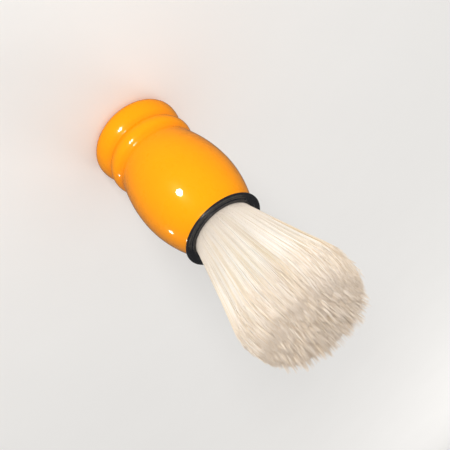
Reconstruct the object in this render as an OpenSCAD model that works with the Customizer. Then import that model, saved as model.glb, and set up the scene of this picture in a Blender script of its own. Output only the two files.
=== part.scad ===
// Shaving brush, standing on its foot.
// +Z runs along the axis from the foot to the bristle tips. The origin is the middle of the foot's flat face.

/* [Handle] */
// Height of the handle, from its foot to the flat end under the collar
handle_h = 56; // [54:1:80]
// Diameter of the foot where it is widest
foot_d = 34.2; // [31:0.2:40]
// Height of the foot's widest place
foot_z = 3.6; // [2:0.1:5]
// How far the foot's rounded edge runs in from its widest place
foot_edge_w = 3.6; // [1:0.1:5]
// Diameter at the groove between the foot and the bead
foot_groove_d = 30; // [28:0.2:31.4]
// Height of that groove
foot_groove_z = 9.6; // [8:0.1:11]
// Diameter of the bead at its crest
bead_d = 33; // [31.6:0.2:38]
// Diameter at the groove between the bead and the bulb
bulb_groove_d = 30; // [28:0.2:31.4]
// Height of that groove
bulb_groove_z = 16.8; // [15:0.1:20]
// Diameter of the bulb
bulb_d = 36.4; // [32:0.2:42]
// Height of the bulb's widest place
bulb_z = 35; // [28:0.5:42]
// Diameter of the neck
neck_d = 26.8; // [26.6:0.2:30]
// Length of the straight neck under the collar
neck_h = 1; // [0.5:0.5:8]
// Softness of the filled grooves
groove_fill = 0.8; // [0.1:0.1:1.5]

/* [Collar] */
// Diameter of the collar's flange
collar_d = 30; // [29:0.2:34]
// Thickness of the flange
flange_h = 0.8; // [0.7:0.1:3]
// Radius of the flange's rounded rim
rim_round = 0.3; // [0.1:0.1:0.3]
// Width of the lip round the bristles
lip_w = 1.3; // [0.6:0.1:1.8]
// Height of the lip above the flange
lip_h = 0.3; // [0.2:0.1:1.5]
// Wall of the sleeve in the handle
sleeve_wall = 0.6; // [0.5:0.1:0.8]
// Length of the sleeve in the handle
sleeve_h = 6; // [3:0.5:7]

/* [Bristles] */
// Diameter of the bundle where it leaves the collar
knot_d = 23.4; // [18:0.2:23.8]
// Free length of the bristles at the crown, from the collar's lip
loft = 53.2; // [44:0.2:65]
// Diameter of the fan where its domed end starts
fan_d = 41.4; // [28:0.2:50]
// Height of the domed end
dome_h = 20; // [8:0.5:25]
// Bluntness of the domed end: 1 is an ellipse, less is blunter
dome_power = 0.4; // [0.3:0.05:1]

/* [Knot fixing] */
// Depth of the roots below the handle's end
root_depth = 14; // [12:0.5:18]
// How much the binding draws the roots in, on the radius
root_draw = 0.6; // [0.1:0.1:1]
// Diameter of the binding thread
thread_d = 0.8; // [0.4:0.1:1]
// Number of thread turns
thread_turns = 5; // [3:1:6]
// Resin under the roots
resin_floor = 2; // [1:0.5:4]
// Resin outside the roots
resin_wall = 1; // [0.8:0.1:1.2]
// Thickness of the adhesive bed in the socket
glue_gap = 0.2; // [0.1:0.1:0.3]

/* [Hidden] */
$fn = 96;

// Height between two rings of the handle's outline, and the angle between two points of a round edge
ring_step = 0.5;
edge_step = 10;

// Handle
foot_r = foot_d / 2;
foot_groove_r = foot_groove_d / 2;
bead_r = bead_d / 2;
bead_z = (foot_groove_z + bulb_groove_z) / 2;
bulb_groove_r = bulb_groove_d / 2;
bulb_r = bulb_d / 2;
neck_r = neck_d / 2;
neck_z = handle_h - neck_h;

// Collar
knot_r = knot_d / 2;
collar_r = collar_d / 2;
lip_r = knot_r + lip_w;
lip_z = handle_h + flange_h + lip_h;
sleeve_r = knot_r + sleeve_wall;
sleeve_z = handle_h - sleeve_h;

// Roots, binding and resin
root_r = knot_r - root_draw;
root_z = handle_h - root_depth;
thread_r = thread_d / 2;
binding_h = thread_turns * thread_d;
// The turns are pressed a little into each other
turn_r = thread_r * 1.06;
binding_z = (root_z + sleeve_z - binding_h) / 2;
resin_r = root_r + resin_wall;
resin_z = root_z - resin_floor;

// Socket, drilled in two steps: a wide mouth for the sleeve and a narrower hole for the plug
mouth_r = sleeve_r + glue_gap;
mouth_z = sleeve_z - glue_gap;
socket_r = resin_r + glue_gap;
socket_z = resin_z - glue_gap;

// Tuft
fan_r = fan_d / 2;
tip_z = lip_z + loft;
fan_z = tip_z - dome_h;

// The larger of two radii, blended softly where they are within fill of each other
function soft_max(a, b, fill) = max(a, b) + pow(max(fill - abs(a - b), 0), 2) / (4 * fill);

// Each swell of the handle is a parabola that falls from its crest to its groove
function swell(z, crest_z, crest_r, groove_z, groove_r) =
    crest_r - (crest_r - groove_r) * pow((z - crest_z) / (groove_z - crest_z), 2);

// Radius of the handle at height z, above the foot's rounded edge
function foot_at(z) = swell(z, foot_z, foot_r, foot_groove_z, foot_groove_r);
function bead_at(z) = swell(z, bead_z, bead_r, foot_groove_z, foot_groove_r);
function bulb_at(z) =
    z < bulb_z ? swell(z, bulb_z, bulb_r, bulb_groove_z, bulb_groove_r)
               : soft_max(swell(z, bulb_z, bulb_r, neck_z, neck_r), neck_r, groove_fill);
function handle_at(z) = soft_max(soft_max(foot_at(z), bead_at(z), groove_fill), bulb_at(z), groove_fill);

// The foot's edge is a quarter of an ellipse
foot_edge = [for (a = [0 : edge_step : 90 - edge_step])
    [foot_r - foot_edge_w * (1 - sin(a)), foot_z * (1 - cos(a))]];
handle_rings = ceil((handle_h - foot_z) / ring_step);
handle_side = [for (i = [0 : handle_rings])
    let (z = foot_z + (handle_h - foot_z) * i / handle_rings) [handle_at(z), z]];

module handle() {
    color("orange")
        difference() {
            rotate_extrude() polygon(concat([[0, 0]], foot_edge, handle_side, [[0, handle_h]]));
            translate([0, 0, socket_z]) cylinder(r = socket_r, h = handle_h - socket_z + 1);
            translate([0, 0, mouth_z]) cylinder(r = mouth_r, h = handle_h - mouth_z + 1);
        }
}

// A quarter round on the rim, from the flange's side to its top
flange_rim = [for (a = [0 : edge_step : 90])
    [collar_r - rim_round * (1 - cos(a)), handle_h + flange_h - rim_round * (1 - sin(a))]];

module collar() {
    color("black")
        difference() {
            union() {
                rotate_extrude()
                    polygon(concat([[0, handle_h], [collar_r, handle_h]], flange_rim,
                        [[lip_r, handle_h + flange_h], [lip_r, lip_z], [0, lip_z]]));
                translate([0, 0, sleeve_z]) cylinder(r = sleeve_r, h = sleeve_h);
            }
            translate([0, 0, sleeve_z - 1]) cylinder(r = knot_r, h = lip_z - sleeve_z + 2);
        }
}

// The fan's domed end, from its widest place to the crown
dome_points = 24;
dome = [for (i = [0 : dome_points - 1])
    let (a = 90 * i / dome_points) [fan_r * pow(cos(a), dome_power), fan_z + dome_h * sin(a)]];

module bristle_tuft() {
    color("ivory")
        rotate_extrude() polygon(concat([[0, lip_z], [knot_r, lip_z]], dome, [[0, tip_z]]));
}

// The roots fill the collar and narrow below it to the bound part
module bristle_roots() {
    color("wheat")
        union() {
            translate([0, 0, sleeve_z]) cylinder(r = knot_r, h = lip_z - sleeve_z);
            translate([0, 0, root_z]) cylinder(r = root_r, h = root_depth - sleeve_h);
        }
}

// The turns lie side by side, drawn half into the roots
module thread_section() {
    intersection() {
        for (i = [0 : thread_turns - 1])
            translate([root_r, binding_z + (i + 0.5) * thread_d]) circle(r = turn_r);
        translate([root_r, binding_z]) square([thread_d, binding_h]);
    }
}

module root_binding() {
    color("saddlebrown") rotate_extrude() thread_section();
}

module resin_plug() {
    color("tan")
        difference() {
            translate([0, 0, resin_z]) cylinder(r = resin_r, h = sleeve_z - resin_z);
            translate([0, 0, root_z]) cylinder(r = root_r, h = root_depth);
            rotate_extrude() thread_section();
        }
}

// The bed lines the socket's floor and wall and the ledge under the sleeve
module socket_glue() {
    color("gainsboro")
        difference() {
            union() {
                translate([0, 0, socket_z]) cylinder(r = socket_r, h = sleeve_z - socket_z);
                translate([0, 0, mouth_z]) cylinder(r = mouth_r, h = handle_h - mouth_z);
            }
            translate([0, 0, resin_z]) cylinder(r = resin_r, h = sleeve_z - resin_z);
            translate([0, 0, sleeve_z]) cylinder(r = sleeve_r, h = sleeve_h + 1);
        }
}

handle();
collar();
bristle_tuft();
bristle_roots();
root_binding();
resin_plug();
socket_glue();
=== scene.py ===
# %% [markdown]
# A wet-shaving brush, standing on its foot. A measured model holds its sizes, and this lesson gives each
# piece its finish and grows the bristles one by one. Everything is in metres, with +Z from the foot to the
# tips.

# %% Load the measured model
import math
import bmesh
import bpy
import numpy as np
from mathutils import Matrix, Vector


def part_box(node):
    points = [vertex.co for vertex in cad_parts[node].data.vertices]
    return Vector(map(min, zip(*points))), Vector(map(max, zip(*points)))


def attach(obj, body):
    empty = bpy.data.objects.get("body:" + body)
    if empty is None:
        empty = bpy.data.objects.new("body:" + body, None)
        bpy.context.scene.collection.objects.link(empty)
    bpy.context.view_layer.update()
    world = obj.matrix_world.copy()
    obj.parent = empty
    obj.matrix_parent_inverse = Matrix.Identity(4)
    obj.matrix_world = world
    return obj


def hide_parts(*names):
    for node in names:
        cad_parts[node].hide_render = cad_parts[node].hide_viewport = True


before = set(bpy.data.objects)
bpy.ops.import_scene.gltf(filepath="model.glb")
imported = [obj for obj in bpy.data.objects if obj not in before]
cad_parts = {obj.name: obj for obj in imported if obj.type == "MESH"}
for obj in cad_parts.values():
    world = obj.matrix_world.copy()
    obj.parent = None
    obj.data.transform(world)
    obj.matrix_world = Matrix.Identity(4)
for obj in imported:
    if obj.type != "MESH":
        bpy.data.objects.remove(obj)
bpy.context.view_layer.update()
MM = 0.001

# %% [markdown]
# The sizes could be typed in again, but then a change to the measured model would be missed. So they are
# read from the boxes of its pieces, and only what a box can't tell, such as the height of a groove, is
# named below.

# %% Sizes read from the measured pieces
def top(node):
    """The corner of a measured piece's box with the largest x, y and z."""
    return Vector(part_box(node)[1])


def bottom(node):
    """The corner of a measured piece's box with the smallest x, y and z."""
    return Vector(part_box(node)[0])


HANDLE_TOP = top("handle").z
BULB_R = top("handle").x
COLLAR_R = top("collar").x
LIP_TOP = top("collar").z
SLEEVE_END = bottom("collar").z
KNOT_R = top("bristle_roots").x
ROOT_END = bottom("bristle_roots").z
PLUG_R = top("resin_plug").x
MOUTH_R = top("socket_glue").x
SOCKET_FLOOR = bottom("socket_glue").z
GLUE_GAP = bottom("resin_plug").z - SOCKET_FLOOR
FAN_R = top("bristle_tuft").x
CROWN = top("bristle_tuft").z
print(f"handle {HANDLE_TOP / MM:.1f} mm, bristles {(CROWN - LIP_TOP) / MM:.1f} mm free")

# %% [markdown]
# The camera looks down on the brush from in front and is turned over, so that the tips point to the lower
# right. It could be placed by hand, but here it follows from the direction that it looks in, its turn, and
# where the middle of the foot lies in its view, so each of them can be changed by itself.

# %% Camera
LOOK_DOWN = math.radians(32)
TURN = math.radians(136)
FOOT_IN_VIEW = Vector((-33.6, 32.9, -300)) * MM  # right, up and back from the lens, as the camera sees them
LENS_MM = 65.4

lens = bpy.data.cameras.new("camera")
lens.lens = LENS_MM
lens.sensor_width = 36
lens.clip_start = 0.01
camera = bpy.data.objects.new("camera", lens)
bpy.context.collection.objects.link(camera)
facing = Matrix.Rotation(math.radians(90) - LOOK_DOWN, 3, "X") @ Matrix.Rotation(TURN, 3, "Z")
camera.matrix_world = Matrix.Translation(-(facing @ FOOT_IN_VIEW)) @ facing.to_4x4()
bpy.context.scene.camera = camera
print("camera at", [round(v, 3) for v in camera.location])

# %% [markdown]
# Colours are written as a painter would read them off a screen, in sRGB hex, and turned to the linear
# values that light adds up in. One function adds any shader node with its settings and links, so that a
# finish reads as a list of nodes.

# %% Helpers for finishes
FACTOR, FIRST, SECOND, COLOUR = 0, 6, 7, 2  # three inputs and the output of a mix node that mixes colours


def linear(code, alpha=1.0):
    """An sRGB colour such as "#FFA500" as linear red, green, blue and alpha."""
    values = [int(code[i:i + 2], 16) / 255 for i in (1, 3, 5)]
    return [v / 12.92 if v <= 0.04045 else ((v + 0.055) / 1.055) ** 2.4 for v in values] + [alpha]


def add(tree, kind, settings=None, links=None):
    """Adds a node. A setting is a property of the node or, failing that, the value of an input.

    An input goes by its name, or by its number where two inputs share a name."""
    node = tree.nodes.new(kind)
    for name, value in (settings or {}).items():
        if isinstance(name, str) and hasattr(node, name):
            setattr(node, name, value)
        else:
            node.inputs[name].default_value = value
    for name, (source, output) in (links or {}).items():
        tree.links.new(source.outputs[output], node.inputs[name])
    return node


def new_finish(name):
    """An empty material, its node tree and its object coordinates."""
    finish = bpy.data.materials.new(name)
    finish.use_nodes = True
    tree = finish.node_tree
    tree.nodes.clear()
    return finish, tree, add(tree, "ShaderNodeTexCoord")


def show(tree, shader):
    """Ends a finish with its output node."""
    add(tree, "ShaderNodeOutputMaterial", {}, {"Surface": (shader, "BSDF")})
    print("a finish of", len(tree.nodes), "nodes")


# %% [markdown]
# Turned pieces are made as on a lathe: half of the section is drawn once and spun a full turn round Z. A
# cylinder could be cut and scaled instead, but a spun section keeps each round as it was drawn. The ends
# that lie on the axis meet in one point each, so the solid is closed.

# %% Helper for turned pieces
SPIN_STEPS = 128
SHARP = math.radians(40)
SAME_POINT = 0.001 * MM


def finish_mesh(shape, name, finish):
    """Turns a bmesh into an object with one material, smooth but for its real corners."""
    for edge in shape.edges:
        edge.smooth = len(edge.link_faces) < 2 or edge.calc_face_angle() < SHARP
    for face in shape.faces:
        face.smooth = True
    mesh = bpy.data.meshes.new(name)
    shape.to_mesh(mesh)
    shape.free()
    mesh.materials.append(finish)
    piece = bpy.data.objects.new(name, mesh)
    bpy.context.collection.objects.link(piece)
    return piece


def turned(name, section, finish):
    """A solid of revolution from points (radius, height) along half of its section."""
    shape = bmesh.new()
    points = [shape.verts.new((radius, 0, height)) for radius, height in section]
    lines = [shape.edges.new(pair) for pair in zip(points, points[1:])]
    bmesh.ops.spin(shape, geom=points + lines, cent=(0, 0, 0), axis=(0, 0, 1), angle=math.tau,
                   steps=SPIN_STEPS, use_merge=True)
    bmesh.ops.remove_doubles(shape, verts=shape.verts, dist=SAME_POINT)
    bmesh.ops.recalc_face_normals(shape, faces=shape.faces)
    print(name, len(shape.faces), "faces, volume", round(shape.calc_volume() / MM**3), "mm3")
    return finish_mesh(shape, name, finish)


# %% [markdown]
# The handle is hardwood turned in one piece and dipped in orange polyurethane lacquer until the grain is
# gone. The colour is deep and even, with a slow drift over the surface. Near each groove the colour is
# painted a deeper orange, as painted shade in the groove. An image could carry that, but a formula on the
# height of each groove stays sharp at any size and needs no unwrapping.

# %% Finish: orange lacquer, its colour
GROOVE_HEIGHTS = (9.6 * MM, 16.8 * MM)
GROOVE_SHADE_REACH, GROOVE_SHADE_DEPTH = 2.2 * MM, 0.4  # how far from a groove the painted shade reaches, and how dark it is

orange_lacquer, tree, coords = new_finish("orange_polyurethane_lacquer")
cloud = add(tree, "ShaderNodeTexNoise", {"Scale": 1 / (14 * MM), "Detail": 2.0},
            {"Vector": (coords, "Object")})
body_colour = add(tree, "ShaderNodeMix",
                  {"data_type": "RGBA", FIRST: linear("#FFAA00"), SECOND: linear("#FFB000")},
                  {FACTOR: (cloud, "Fac")})
place = add(tree, "ShaderNodeSeparateXYZ", {}, {"Vector": (coords, "Object")})
for groove in GROOVE_HEIGHTS:
    away = add(tree, "ShaderNodeMath", {"operation": "SUBTRACT", 1: groove}, {0: (place, "Z")})
    distance = add(tree, "ShaderNodeMath", {"operation": "ABSOLUTE"}, {0: (away, "Value")})
    groove_shade = add(tree, "ShaderNodeMapRange",
                 {"interpolation_type": "SMOOTHSTEP", "From Min": 0.0, "From Max": GROOVE_SHADE_REACH,
                  "To Min": GROOVE_SHADE_DEPTH, "To Max": 0.0},
                 {"Value": (distance, "Value")})
    # painted shade in the groove: a deeper orange near its height
    body_colour = add(tree, "ShaderNodeMix", {"data_type": "RGBA", SECOND: linear("#F89000")},
                      {FACTOR: (groove_shade, "Result"), FIRST: (body_colour, COLOUR)})

# %% [markdown]
# Over the colour lies a hard clear coat like glass. One glossy layer would look like plain plastic, so
# there are two: a softer gloss, and over it a coat that is nearly a mirror. A faint waviness is what a dip
# leaves as it sets. The coat is a little yellow, which deepens the colour at the edges, where light crosses
# more of it.

# %% Finish: orange lacquer, its gloss
peel = add(tree, "ShaderNodeTexNoise", {"Scale": 1 / (2.5 * MM), "Detail": 1.0},
           {"Vector": (coords, "Object")})
waviness = add(tree, "ShaderNodeBump", {"Strength": 0.05, "Distance": 0.05 * MM},
               {"Height": (peel, "Fac")})
wipe = add(tree, "ShaderNodeTexNoise", {"Scale": 1 / (6 * MM), "Detail": 4.0},
           {"Vector": (coords, "Object")})
under_gloss = add(tree, "ShaderNodeMapRange", {"To Min": 0.22, "To Max": 0.34}, {"Value": (wipe, "Fac")})
shader = add(tree, "ShaderNodeBsdfPrincipled",
             {"IOR": 1.5, "Specular IOR Level": 0.25, "Coat Weight": 1.0, "Coat Roughness": 0.02,
              "Coat IOR": 1.5, "Coat Tint": linear("#FFE8A0")},
             {"Base Color": (body_colour, COLOUR), "Roughness": (under_gloss, "Result"),
              "Normal": (waviness, "Normal"), "Coat Normal": (waviness, "Normal")})
show(tree, shader)

# %% [markdown]
# The handle's side is a row of swells: the foot, the bead and the bulb. Each is a parabola that falls from
# its crest to its groove, and a soft maximum joins them, as lacquer fills a turned groove. The side could
# be a curve drawn by eye, but one formula, sampled finely, leaves no flats for the gloss to show up.

# %% Side of the handle
FOOT_R, FOOT_HEIGHT, FOOT_EDGE = 17.1 * MM, 3.6 * MM, 3.6 * MM
FOOT_GROOVE_R, BULB_GROOVE_R = 15 * MM, 15 * MM
BEAD_R = 16.5 * MM
BULB_HEIGHT = 35 * MM
NECK_R, NECK_LENGTH = 13.4 * MM, 1 * MM
GROOVE_FILL = 0.8 * MM


def swell(z, crest_z, crest_r, groove_z, groove_r):
    """Radius at height z of a parabola with its crest and its groove at the given places."""
    return crest_r - (crest_r - groove_r) * ((z - crest_z) / (groove_z - crest_z)) ** 2


def soft_max(a, b):
    """The larger radius, with a small fillet where the two are nearly the same."""
    return max(a, b) + max(GROOVE_FILL - abs(a - b), 0) ** 2 / (4 * GROOVE_FILL)


def handle_radius(z):
    """Radius of the handle's side at height z, above the rounded edge of the foot."""
    low_groove, high_groove = GROOVE_HEIGHTS
    foot = swell(z, FOOT_HEIGHT, FOOT_R, low_groove, FOOT_GROOVE_R)
    bead = swell(z, (low_groove + high_groove) / 2, BEAD_R, low_groove, FOOT_GROOVE_R)
    if z < BULB_HEIGHT:
        bulb = swell(z, BULB_HEIGHT, BULB_R, high_groove, BULB_GROOVE_R)
    else:
        bulb = soft_max(swell(z, BULB_HEIGHT, BULB_R, HANDLE_TOP - NECK_LENGTH, NECK_R), NECK_R)
    return soft_max(soft_max(foot, bead), bulb)


print("radius at the grooves", [round(handle_radius(z) / MM, 2) for z in GROOVE_HEIGHTS], "mm")

# %% [markdown]
# The handle's section runs from the middle of the foot, round its edge, up the side and down into the
# drilled socket. The socket has a ledge for the collar's sleeve and stays open, because the glue, the resin
# and the bristles that fill it are pieces of their own.

# %% Handle
EDGE_STEPS = 16
RING_SPACING = 0.25 * MM

foot_edge = [(FOOT_R - FOOT_EDGE * (1 - math.sin(a)), FOOT_HEIGHT * (1 - math.cos(a)))
             for a in np.linspace(0, math.pi / 2, EDGE_STEPS)[:-1]]
side_points = round((HANDLE_TOP - FOOT_HEIGHT) / RING_SPACING)
side = [(handle_radius(z), z) for z in np.linspace(FOOT_HEIGHT, HANDLE_TOP, side_points)]
LEDGE = SLEEVE_END - GLUE_GAP
SOCKET_R = PLUG_R + GLUE_GAP
socket = [(MOUTH_R, HANDLE_TOP), (MOUTH_R, LEDGE), (SOCKET_R, LEDGE), (SOCKET_R, SOCKET_FLOOR),
          (0, SOCKET_FLOOR)]
handle = turned("turned_handle", [(0, 0)] + foot_edge + side + socket, orange_lacquer)
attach(handle, "root")
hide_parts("handle")

# %% [markdown]
# The collar is moulded in black ABS. It is nearly black, so colour alone would leave a flat shape, and what
# shows it is its gloss: a line of light along each rounded edge. Handling leaves it a little duller in
# patches, so one noise drives both the gloss and a small change of tint.

# %% Finish: black moulded plastic
black_plastic, tree, coords = new_finish("black_moulded_abs")
handling = add(tree, "ShaderNodeTexNoise", {"Scale": 1 / (3 * MM), "Detail": 5.0, "Roughness": 0.65},
               {"Vector": (coords, "Object")})
gloss = add(tree, "ShaderNodeMapRange", {"From Min": 0.3, "From Max": 0.7, "To Min": 0.16, "To Max": 0.3},
            {"Value": (handling, "Fac")})
tint = add(tree, "ShaderNodeMix", {"data_type": "RGBA", FIRST: linear("#15161A"), SECOND: linear("#232429")},
           {FACTOR: (handling, "Fac")})
grain = add(tree, "ShaderNodeTexNoise", {"Scale": 1 / (0.4 * MM), "Detail": 2.0},
            {"Vector": (coords, "Object")})
relief = add(tree, "ShaderNodeBump", {"Strength": 0.1, "Distance": 0.02 * MM}, {"Height": (grain, "Fac")})
shader = add(tree, "ShaderNodeBsdfPrincipled", {"IOR": 1.53},
             {"Base Color": (tint, COLOUR), "Roughness": (gloss, "Result"), "Normal": (relief, "Normal")})
show(tree, shader)

# %% [markdown]
# The collar has small radii on every corner that shows, a fine groove in its face and a raised lip round
# the bristles. Its sleeve goes down into the socket. A bevel could round a square ring afterwards, but the
# corners differ in size, so the rounds are drawn in the section before it is spun.

# %% Collar
RIM_ROUND = 0.4 * MM
EDGE_ROUND = 0.12 * MM
LIP_HEIGHT = 0.3 * MM
LIP_WIDTH = 1.3 * MM
SLEEVE_WALL = 0.6 * MM
FACE_GROOVE = 0.1 * MM
FLANGE_TOP = LIP_TOP - LIP_HEIGHT


def rounded(corner_r, corner_z, size, start, turn=90, steps=6):
    """Points on a round of that size about (corner_r, corner_z), from the start angle on, in degrees."""
    angles = [math.radians(start + turn * i / steps) for i in range(steps + 1)]
    return [(corner_r + size * math.cos(a), corner_z + size * math.sin(a)) for a in angles]


lip_outer = KNOT_R + LIP_WIDTH
face_middle = (COLLAR_R - RIM_ROUND + lip_outer) / 2
collar_section = (
    [(KNOT_R, SLEEVE_END), (KNOT_R + SLEEVE_WALL, SLEEVE_END), (KNOT_R + SLEEVE_WALL, HANDLE_TOP)]
    + rounded(COLLAR_R - EDGE_ROUND, HANDLE_TOP + EDGE_ROUND, EDGE_ROUND, -90)
    + rounded(COLLAR_R - RIM_ROUND, FLANGE_TOP - RIM_ROUND, RIM_ROUND, 0)
    + rounded(face_middle, FLANGE_TOP, FACE_GROOVE, 0, -180)
    + rounded(lip_outer + EDGE_ROUND, FLANGE_TOP + EDGE_ROUND, EDGE_ROUND, -90, -90)
    + rounded(lip_outer - EDGE_ROUND, LIP_TOP - EDGE_ROUND, EDGE_ROUND, 0)
    + rounded(KNOT_R + EDGE_ROUND, LIP_TOP - EDGE_ROUND, EDGE_ROUND, 90)
    + [(KNOT_R, SLEEVE_END)])
collar = turned("moulded_collar", collar_section, black_plastic)
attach(collar, "root")
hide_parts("collar")

# %% [markdown]
# Inside the handle the roots are bound with waxed thread, cast in amber resin and glued into the socket.
# Nothing of this shows, so these pieces keep their measured shapes, and only get finishes of their own, for
# when the brush is cut open or taken apart. The three differ in colours, grain and gloss, so one function
# makes them.

# %% Finishes inside the knot
def inner_finish(name, node, dark, light, grain_size, stretch, gloss, depth):
    """A grained finish on a measured piece. A stretch below 1 draws the grain out round the piece."""
    finish, tree, coords = new_finish(name)
    grain_space = add(tree, "ShaderNodeMapping", {"Scale": (1, 1, 1 / stretch)},
                      {"Vector": (coords, "Object")})
    grain = add(tree, "ShaderNodeTexNoise", {"Scale": 1 / grain_size, "Detail": 4.0},
                {"Vector": (grain_space, "Vector")})
    colour = add(tree, "ShaderNodeMix", {"data_type": "RGBA", FIRST: linear(dark), SECOND: linear(light)},
                 {FACTOR: (grain, "Fac")})
    dulling = add(tree, "ShaderNodeMapRange", {"To Min": gloss[0], "To Max": gloss[1]},
                  {"Value": (grain, "Fac")})
    relief = add(tree, "ShaderNodeBump", {"Strength": 0.4, "Distance": depth}, {"Height": (grain, "Fac")})
    shader = add(tree, "ShaderNodeBsdfPrincipled", {"IOR": 1.5},
                 {"Base Color": (colour, COLOUR), "Roughness": (dulling, "Result"),
                  "Normal": (relief, "Normal")})
    show(tree, shader)
    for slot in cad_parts[node].material_slots:
        slot.material = finish


inner_finish("amber_casting_resin", "resin_plug", "#7A4A17", "#A8702C",
             grain_size=4 * MM, stretch=1, gloss=(0.08, 0.2), depth=0.03 * MM)
inner_finish("waxed_linen_thread", "root_binding", "#3F2614", "#7A5230",
             grain_size=0.6 * MM, stretch=0.25, gloss=(0.4, 0.6), depth=0.05 * MM)
inner_finish("white_wood_glue", "socket_glue", "#C9C4B4", "#E4E0D2",
             grain_size=3 * MM, stretch=1, gloss=(0.3, 0.5), depth=0.05 * MM)

# %% [markdown]
# Boar bristle is keratin, like a thick hair: off-white to straw, with a darker strand here and there. One
# colour for the whole tuft would look like wax, and a noise in space would run across the bristles. So each
# bristle carries its own tone, and its place along the length, as attributes of the mesh. Painted shade
# makes it greyer at the root, where the bundle is densest, and darker and warmer on the tips.

# %% Finish: boar bristle, its colour
TONES = ((0.0, "#A88456"), (0.25, "#D8BE94"), (0.5, "#EEDFC6"), (0.75, "#F8EFE2"), (1.0, "#FCF8F2"))

boar_bristle, tree, coords = new_finish("boar_bristle")
tone = add(tree, "ShaderNodeAttribute", {"attribute_name": "tone"})
along = add(tree, "ShaderNodeAttribute", {"attribute_name": "along"})
keratin = add(tree, "ShaderNodeValToRGB", {}, {"Fac": (tone, "Fac")})
for i, (position, code) in enumerate(TONES):
    stops = keratin.color_ramp.elements
    stop = stops[i] if i < 2 else stops.new(position)
    stop.position = position
    stop.color = linear(code)
mottle = add(tree, "ShaderNodeTexNoise", {"Scale": 1 / (7 * MM), "Detail": 3.0},
             {"Vector": (coords, "Object")})
warmth = add(tree, "ShaderNodeMapRange", {"From Min": 0.4, "From Max": 0.7, "To Min": 0.0, "To Max": 0.12},
             {"Value": (mottle, "Fac")})
warmed = add(tree, "ShaderNodeMix", {"data_type": "RGBA", SECOND: linear("#F3E0BC")},
             {FACTOR: (warmth, "Result"), FIRST: (keratin, "Color")})
# painted shade: greyer near the root, where the bundle is densest
root_shade_share = add(tree, "ShaderNodeMapRange",
                 {"From Min": 0.0, "From Max": 0.55, "To Min": 0.9, "To Max": 0.0},
                 {"Value": (along, "Fac")})
root_shaded = add(tree, "ShaderNodeMix", {"data_type": "RGBA", SECOND: linear("#DFD2C4")},
             {FACTOR: (root_shade_share, "Result"), FIRST: (warmed, COLOUR)})
# painted shade: darker and warmer towards the tips
tip_shade_share = add(tree, "ShaderNodeMapRange",
                {"From Min": 0.7, "From Max": 1.0, "To Min": 0.0, "To Max": 0.6},
                {"Value": (along, "Fac")})
tip_shaded = add(tree, "ShaderNodeMix", {"data_type": "RGBA", SECOND: linear("#EBD6C0")},
              {FACTOR: (tip_shade_share, "Result"), FIRST: (root_shaded, COLOUR)})

# %% [markdown]
# Washed bristle has a soft gloss, neither glassy like lacquer nor dull like wool. A fine noise makes it
# uneven from one spot to the next, so that the tuft doesn't shine as one smooth body.

# %% Finish: boar bristle, its gloss
sheen_grain = add(tree, "ShaderNodeTexNoise", {"Scale": 1 / (0.8 * MM), "Detail": 2.0},
                  {"Vector": (coords, "Object")})
gloss = add(tree, "ShaderNodeMapRange", {"To Min": 0.35, "To Max": 0.55}, {"Value": (sheen_grain, "Fac")})
shader = add(tree, "ShaderNodeBsdfPrincipled", {"IOR": 1.55},
             {"Base Color": (tip_shaded, COLOUR), "Roughness": (gloss, "Result")})
show(tree, shader)

# %% [markdown]
# The tuft is grown bristle by bristle. Places drawn at random would leave gaps and clumps, and a square
# grid would show as rows. The packing of a sunflower head spreads the roots evenly over the knot, and a
# small random shift hides its spirals.

# %% Where each bristle starts
RINGS = ("bristles_1_inner", "bristles_2", "bristles_3", "bristles_4", "bristles_5", "bristles_6_outer")
DOUBLINGS = 12  # one bristle, doubled this often, makes a ring
IN_RING = 2**DOUBLINGS
BRISTLES = IN_RING * len(RINGS)
BRISTLE_R = 0.105 * MM
SECTION_AREA = 3 * math.sqrt(3) / 4  # of a three-sided rod of radius 1
SUNFLOWER_TURN = math.pi * (3 - math.sqrt(5))
ROOT_SHIFT = 0.35  # in a measure in which neighbours are 1.8 apart


def sunflower(count):
    """Evenly spread places over a disc of radius 1."""
    number = np.arange(count) + 0.5
    turn = number * SUNFLOWER_TURN
    return np.sqrt(number / count)[:, None] * np.stack([np.cos(turn), np.sin(turn)], 1)


chance = np.random.default_rng(7)  # seeded, so that each run grows the same brush
root = sunflower(BRISTLES) + chance.normal(0, ROOT_SHIFT / math.sqrt(BRISTLES), (BRISTLES, 2))
root /= np.maximum(1, np.linalg.norm(root, axis=1))[:, None]
share = np.linalg.norm(root, axis=1)  # 0 in the middle of the knot and 1 at its rim
filled = BRISTLES * SECTION_AREA * BRISTLE_R**2 / (math.pi * KNOT_R**2)
print(BRISTLES, "bristles fill", round(100 * filled), "% of the knot")

# %% [markdown]
# A dry brush gathers in locks. Small ones of about five bristles draw close together, and wide ones of
# about sixty share a length and a tone. The lock middles are spread like the roots, but more loosely, and
# each bristle belongs to the nearest lock of either kind. Without locks the tuft would look like a machined
# cone.

# %% Locks
WIDE, FINE = 420, 5000
LOCK_SHIFT = 0.6  # in a measure in which neighbours are 1.8 apart


def locks(count):
    """Middles of count locks over the knot, and the number of the nearest one for each bristle."""
    middle = sunflower(count) + chance.normal(0, LOCK_SHIFT / math.sqrt(count), (count, 2))
    nearest = np.array([np.argmin(((middle - r) ** 2).sum(1)) for r in root])
    return middle, nearest


wide_locks, wide = locks(WIDE)
fine_locks, fine = locks(FINE)
print("bristles in a wide lock", BRISTLES // WIDE, "and in a small one", BRISTLES // FINE)

# %% [markdown]
# The tuft opens as a fan and ends in a dome. The side is nearly straight, and the dome is squarer than a
# ball, as a knot is shaped in a cup before it is set. Two formulas give the outline, and every bristle is
# measured against them.

# %% Outline of the tuft
DOME_HEIGHT = 20 * MM
DOME_POWER = 0.4  # 1 makes half an ellipsoid, and less a squarer dome
FAN_HEIGHT = CROWN - DOME_HEIGHT
FAN_BOW = 0.09  # 0 makes a straight side, and more a side that bows inwards


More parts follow.
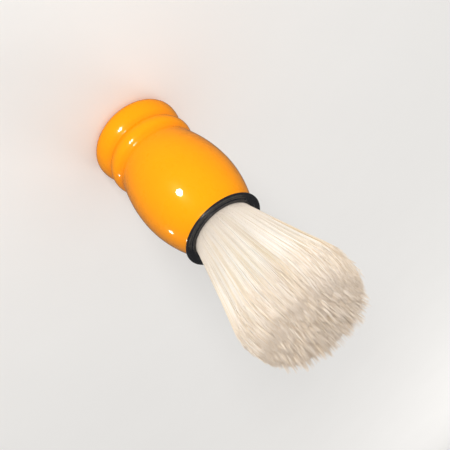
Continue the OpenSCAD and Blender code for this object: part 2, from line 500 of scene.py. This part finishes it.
def fan_width(z):
    """Radius of the fan's side at height z, carried on past the dome's start."""
    rise = (z - LIP_TOP) / (FAN_HEIGHT - LIP_TOP)
    return KNOT_R + (FAN_R - KNOT_R) * (rise - FAN_BOW * rise * (1 - rise))


def drawn_in(z):
    """How far the dome lies inside the fan at height z: 0 up to the dome's start and 1 at the crown."""
    rise = np.clip((z - FAN_HEIGHT) / DOME_HEIGHT, 0, 1)
    return np.clip(1 - FAN_R * (1 - rise**2)**(DOME_POWER / 2) / fan_width(z), 0, 1) * (rise > 0)


print("fan", round(2 * fan_width(FAN_HEIGHT) / MM, 1), "mm across where the dome starts")

# %% [markdown]
# Straight bristles cut off at the dome would show their ends all over it. Real ones near the outside keep
# the curve they were shaped with, so most of them follow the dome inwards for a while before they end. One
# small lock in seven has sprung straight again and stands out in a point. Bristles are never cut at the
# tips, so their lengths differ by a millimetre or two.

# %% Where each bristle ends
CURL, CURL_POWER = 0.97, 2.2  # how closely the outermost bristles follow the dome, and how fast that fades
LEAST_CURL = 0.65  # each bristle keeps between this share and all of its curl
SPRUNG, SPRUNG_CURL = 0.14, 0.15  # the share of small locks that have sprung, and the curl they keep
OUTERMOST = 0.97  # the rim's bristles end just inside the outline, by this share of its width
DOME_SAMPLES = 200
SHORTER, TILT = 3.3, 0.8  # mm lost below the dome, and how much more or less at the two sides
WIDE_LENGTH, OWN_LENGTH = 0.3, 0.6  # mm by which wide locks and single bristles differ
SPRUNG_OUT = (0.8, 4.0)  # mm by which the sprung locks stand out

sprung = (chance.random(FINE) < SPRUNG)[fine]
curl = CURL * share**CURL_POWER * np.where(sprung, SPRUNG_CURL, chance.uniform(LEAST_CURL, 1, BRISTLES))
end_share = (1 - OUTERMOST * share) / (1 - OUTERMOST * share * curl)
dome_z = FAN_HEIGHT + DOME_HEIGHT * np.sin(np.linspace(0.001, math.pi / 2, DOME_SAMPLES))
length_lost = (SHORTER + TILT * root[:, 0] + chance.normal(0, WIDE_LENGTH, WIDE)[wide]
               + chance.exponential(OWN_LENGTH, BRISTLES))
length_lost -= sprung * chance.uniform(*SPRUNG_OUT, FINE)[fine]
end_height = np.interp(end_share, drawn_in(dome_z), dome_z) - length_lost * MM
print("ends from", round(end_height.min() / MM, 1), "to", round(end_height.max() / MM, 1), "mm")

# %% [markdown]
# The tone of a bristle is mostly its own, and a little that of its locks. One in fourteen is a dark strand,
# the kind that is left in when a bundle is sorted by hand.

# %% Tone of each bristle
TONE, LOCK_TONE, OWN_TONE = 0.76, 0.05, 0.14  # the mean, and how far locks and single bristles differ
DARK_STRANDS, DARKER = 0.07, 0.35  # how many there are, and how much darker

dark_strand = chance.random(BRISTLES) < DARK_STRANDS
tone_of = TONE + LOCK_TONE * chance.normal(size=FINE)[fine] + LOCK_TONE * chance.normal(size=WIDE)[wide]
tone_of = np.clip(tone_of + OWN_TONE * chance.normal(size=BRISTLES) - DARKER * dark_strand, 0, 1)
print("tones from", round(tone_of.min(), 2), "to", round(tone_of.max(), 2), "mean", round(tone_of.mean(), 2))

# %% [markdown]
# Each bristle rises straight through the collar and then leans outwards in proportion to its place in the
# knot. It draws closer to its locks and strays by its own small amount, more and more toward the tip. The
# whole tuft leans by less than a degree, as a knot set by hand does. A few stations along each bristle are
# enough, because only the last two fifths bend.

# %% Path of each bristle
STATIONS = (0.0, 0.6, 0.8, 0.92, 1.0)  # shares of the free length at which a bristle may bend
ROOT_DRAW = 0.6 * MM  # the binding draws the roots in by twice this
LEAN = np.array((-0.012, 0.01))  # metres in x and y for each metre up
SMALL_DRAW, SPRUNG_DRAW, WIDE_DRAW = 0.1, 0.5, 0.06  # how far a bristle moves to the middle of its lock
STRAY, FAR_STRAY, FAR_STRAYS = 0.3, 0.75, 0.02  # mm that a tip strays, mm for a few of them, and how many

stray = np.where(chance.random(BRISTLES) < FAR_STRAYS, FAR_STRAY, STRAY)[:, None]
stray = stray * chance.normal(size=(BRISTLES, 2)) * MM
small_draw = np.where(sprung, SPRUNG_DRAW, SMALL_DRAW)[:, None]
to_locks = (fine_locks[fine] - root) * small_draw + (wide_locks[wide] - root) * WIDE_DRAW
centres = np.zeros((BRISTLES, len(STATIONS) + 1, 3))
centres[:, 0, :2] = root * (KNOT_R - 2 * ROOT_DRAW - 2 * BRISTLE_R)
centres[:, 0, 2] = ROOT_END
for station, part in enumerate(STATIONS, 1):
    z = LIP_TOP + part * (end_height - LIP_TOP)
    width = (fan_width(z) * (1 - curl * drawn_in(z)) - 2 * BRISTLE_R)[:, None]
    centres[:, station, :2] = (root + to_locks * part) * width + stray * part + LEAN * (z - LIP_TOP)[:, None]
    centres[:, station, 2] = z
thickness = BRISTLE_R * chance.uniform(0.75, 1.25, BRISTLES)
print("widest", round(2 * np.linalg.norm(centres[:, :, :2], axis=2).max() / MM, 1), "mm")

# %% [markdown]
# One bristle is a three-sided rod, cut into lengths. A rounder rod would cost many faces, and at a fifth of
# a millimetre across three sides look round. Its UV map opens the three sides next to each other, with the
# root at the bottom, and leaves a strip below and above them for the two end caps.

# %% One bristle
TAPER = (1.0, 1.0, 1.05, 1.15, 1.1, 0.3)  # thickness at the root and at each station
LENGTHS = len(TAPER) - 1
UV_MAP = "OFBake"
SIDES_FROM, SIDES_HIGH = 0.1, 0.8  # where the sides lie in the UV map
LOW_CAP, HIGH_CAP, CAP_WIDE, CAP_HIGH = 0.04, 0.96, 0.4, 0.03


def one_bristle():
    """A three-sided rod of radius 1 up the Z axis, with a ring of corners at each whole height."""
    shape = bmesh.new()
    bmesh.ops.create_cone(shape, cap_ends=True, segments=3, radius1=1, radius2=1, depth=LENGTHS)
    bmesh.ops.translate(shape, verts=shape.verts, vec=(0, 0, LENGTHS / 2))
    sides = [e for e in shape.edges if abs(e.verts[0].co.z - e.verts[1].co.z) > 1]
    bmesh.ops.subdivide_edges(shape, edges=sides, cuts=LENGTHS - 1, use_grid_fill=True)
    bmesh.ops.recalc_face_normals(shape, faces=shape.faces)
    uv = shape.loops.layers.uv.new(UV_MAP)
    for face in shape.faces:
        face.smooth = True
        middle = face.calc_center_median()
        facing = math.atan2(middle.y, middle.x)
        side = round(facing / math.tau * 3 - 0.5) % 3
        for loop in face.loops:
            x, y, z = loop.vert.co
            if abs(face.normal.z) > 0.5:
                loop[uv].uv = (0.5 + CAP_WIDE * x, (HIGH_CAP if z > 1 else LOW_CAP) + CAP_HIGH * y)
                continue
            across = (math.atan2(y, x) - facing + math.pi) % math.tau - math.pi
            loop[uv].uv = ((side + 0.5 + across * 3 / math.tau) / 3, SIDES_FROM + SIDES_HIGH * z / LENGTHS)
    return shape


test = one_bristle()
print("one bristle has", sum(len(f.verts) - 2 for f in test.faces), "triangles")
test.free()

# %% [markdown]
# Placing thousands of copies one after the other is slow in Blender. Doubling one bristle twelve times
# gives the 4096 of a ring in twelve steps. Each copy is then carried to its own path, gets its tone and its
# place along the length as attributes, and takes a cell of its own in the UV map.

# %% Grow the bristles
CELLS = 2**(DOUBLINGS // 2)  # along each side of the UV map
CELL_MARGIN = 0.1


def grow(name):
    """A mesh with all bristles of a ring in one place, each corner marked with the number of its bristle."""
    shape = one_bristle()
    number = shape.verts.layers.int.new("bristle")
    for doubling in range(DOUBLINGS):
        made = bmesh.ops.duplicate(shape, geom=shape.verts[:] + shape.edges[:] + shape.faces[:])
        for part in made["geom"]:
            if isinstance(part, bmesh.types.BMVert):
                part[number] += 2**doubling
    mesh = bpy.data.meshes.new(name)
    shape.to_mesh(mesh)
    shape.free()
    return mesh


def read(data, field, width, kind):
    """One field of a mesh's data as an array with width columns."""
    values = np.empty(len(data) * width, kind)
    data.foreach_get(field, values)
    return values.reshape(-1, width)


def carry(mesh, first):
    """Moves each copy to its path, and writes its tone, its place along the length and its UV cell."""
    copy = read(mesh.attributes["bristle"].data, "value", 1, np.int32)[:, 0]
    co = read(mesh.vertices, "co", 3, np.float32)
    which = copy + first
    ring = np.rint(co[:, 2]).astype(int)
    placed = centres[which, ring].copy()
    placed[:, :2] += co[:, :2] * (thickness[which] * np.array(TAPER)[ring])[:, None]
    mesh.vertices.foreach_set("co", placed.astype(np.float32).ravel())
    for label, values in (("tone", tone_of[which]), ("along", np.array((0,) + STATIONS)[ring])):
        layer = mesh.attributes.new(label, "FLOAT", "POINT")
        layer.data.foreach_set("value", values.astype(np.float32))
    corner = read(mesh.loops, "vertex_index", 1, np.int32)[:, 0]
    cell = np.stack([copy[corner] % CELLS, copy[corner] // CELLS], 1)
    in_cell = read(mesh.uv_layers[UV_MAP].data, "uv", 2, np.float32)
    uv = (cell + CELL_MARGIN + (1 - 2 * CELL_MARGIN) * in_cell) / CELLS
    mesh.uv_layers[UV_MAP].data.foreach_set("uv", uv.astype(np.float32).ravel())
    mesh.update()


for ring_number, name in enumerate(RINGS):
    mesh = grow(name)
    carry(mesh, ring_number * IN_RING)
    mesh.materials.append(boar_bristle)
    tuft = bpy.data.objects.new(name, mesh)
    bpy.context.collection.objects.link(tuft)
    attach(tuft, "root")
    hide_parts("bristle_tuft", "bristle_roots")
    print(name, sum(len(f.vertices) - 2 for f in mesh.polygons), "triangles")

# %% [markdown]
# Behind the outer bristles a real tuft is packed so tightly that no light comes through. More bristles
# could close the last gaps, at a cost in faces that never show. Instead a closed body a little inside the
# tuft's outline, in the same finish, stands for that packed middle. Its tone is darker than the bristles'
# mean, as painted shade of the deep gaps. It keeps further in at the shoulder, where the bristles part.

# %% Packed middle of the tuft
INSET = 1.8 * MM
SHOULDER_INSET = 9 * MM
CROWN_INSET = 5 * MM
SIDE_RINGS, DOME_RINGS = 12, 24
# the middle's tone is darker than the bristles' mean: painted shade of the deep gaps
MIDDLE_SHADED_TONE, MIDDLE_ALONG = 0.6, 0.5


def tuft_width(z):
    """Radius of the tuft's outline at height z: the fan's side, drawn in where the dome is narrower."""
    return fan_width(z) * (1 - drawn_in(z))


section = [(0, ROOT_END + INSET), (KNOT_R - ROOT_DRAW - INSET, ROOT_END + INSET)]
section += [(fan_width(z) - INSET, z) for z in np.linspace(LIP_TOP, FAN_HEIGHT - SHOULDER_INSET, SIDE_RINGS)]
for rise in np.sin(np.linspace(0, math.pi / 2, DOME_RINGS))[1:-1]:
    z = FAN_HEIGHT - SHOULDER_INSET + (DOME_HEIGHT + SHOULDER_INSET - CROWN_INSET) * rise
    section.append((min(fan_width(z), tuft_width(FAN_HEIGHT + DOME_HEIGHT * rise)) - INSET, z))
section += [(0, CROWN - CROWN_INSET)]
packed_middle = turned("packed_middle", section, boar_bristle)
for label, value in (("tone", MIDDLE_SHADED_TONE), ("along", MIDDLE_ALONG)):
    layer = packed_middle.data.attributes.new(label, "FLOAT", "POINT")
    layer.data.foreach_set("value", np.full(len(packed_middle.data.vertices), value, np.float32))
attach(packed_middle, "root")
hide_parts("bristle_tuft")

# %% [markdown]
# The set is plain: a pale matt floor in a pale surround. A gloss as hard as this lacquer's shows everything
# round it, and a bright room would turn its edges milky. So the surround is dim where only the gloss sees
# it, and the gloss doesn't see the floor.

# %% Floor and surround
FLOOR_REACH = 4
AMBIENT, IN_VIEW, IN_GLOSS = 0.62, 0.66, 0.15  # strength of the surround as light, in view and in the gloss

shape = bmesh.new()
bmesh.ops.create_grid(shape, x_segments=1, y_segments=1, size=FLOOR_REACH)
floor_finish, tree, coords = new_finish("pale_matt_floor")
speck = add(tree, "ShaderNodeTexNoise", {"Scale": 1 / (40 * MM), "Detail": 3.0},
            {"Vector": (coords, "Object")})
pale = add(tree, "ShaderNodeMix", {"data_type": "RGBA", FIRST: linear("#F1EFEC"), SECOND: linear("#F4F2EF")},
           {FACTOR: (speck, "Fac")})
show(tree, add(tree, "ShaderNodeBsdfPrincipled", {"Roughness": 0.8, "Specular IOR Level": 0.0},
               {"Base Color": (pale, COLOUR)}))
floor = finish_mesh(shape, "floor", floor_finish)
floor.visible_glossy = False

world = bpy.data.worlds.new("surround")
bpy.context.scene.world = world
world.use_nodes = True
tree = world.node_tree
tree.nodes.clear()
path = add(tree, "ShaderNodeLightPath")
level = add(tree, "ShaderNodeMapRange", {"To Min": AMBIENT, "To Max": IN_VIEW},
            {"Value": (path, "Is Camera Ray")})
level = add(tree, "ShaderNodeMapRange", {"To Max": IN_GLOSS},
            {"To Min": (level, "Result"), "Value": (path, "Is Glossy Ray")})
sky = add(tree, "ShaderNodeBackground", {"Color": linear("#FFFFFF")}, {"Strength": (level, "Result")})
add(tree, "ShaderNodeOutputWorld", {}, {"Surface": (sky, "Background")})

# %% [markdown]
# One lamp that both lights the brush and shows in its gloss would be either too hard a light or too large a
# highlight. So two wide lamps light the brush, a strong one in front and a weak one behind, and three more
# only show in the gloss: a small one puts a clear spark on each swell, a smaller one does so at the side,
# and a panel high in front draws the line of light along the collar's rounded edge.

# %% Lamps
LAMP_TARGET = Vector((0, 0, 0.055))


def lamp(name, degrees, height, away, size, watts, tallness=1.0, lights=True, shines=True):
    """An oval lamp that faces the brush, so many degrees round it from the front to the right, then metres.

    It may light the brush, show in its gloss, or both."""
    a = math.radians(degrees)
    spot = Vector((away * math.sin(a), -away * math.cos(a), height))
    light = bpy.data.lights.new(name, "AREA")
    light.shape = "ELLIPSE"
    light.size = size
    light.size_y = size * tallness
    light.energy = watts
    holder = bpy.data.objects.new(name, light)
    bpy.context.collection.objects.link(holder)
    holder.location = spot
    holder.rotation_euler = (spot - LAMP_TARGET).to_track_quat("Z", "Y").to_euler()
    holder.visible_camera = False
    holder.visible_diffuse = lights
    holder.visible_glossy = shines
    print(name, "lamp,", watts, "W,", round((spot - LAMP_TARGET).length, 2), "m away")


lamp("key", -3, height=0.3, away=0.75, size=0.25, watts=4.8, shines=False)
lamp("back_fill", 195, height=0.4, away=0.8, size=0.4, watts=1.4, shines=False)
lamp("spark", 12, height=0.028, away=0.13, size=0.03, watts=0.05, tallness=0.6, lights=False)
lamp("side_spark", 96, height=0.022, away=0.15, size=0.014, watts=0.008, tallness=0.7, lights=False)
lamp("top_panel", 5, height=0.75, away=0.3, size=0.3, watts=2.0, lights=False)

bpy.context.scene.view_settings.view_transform = "Standard"
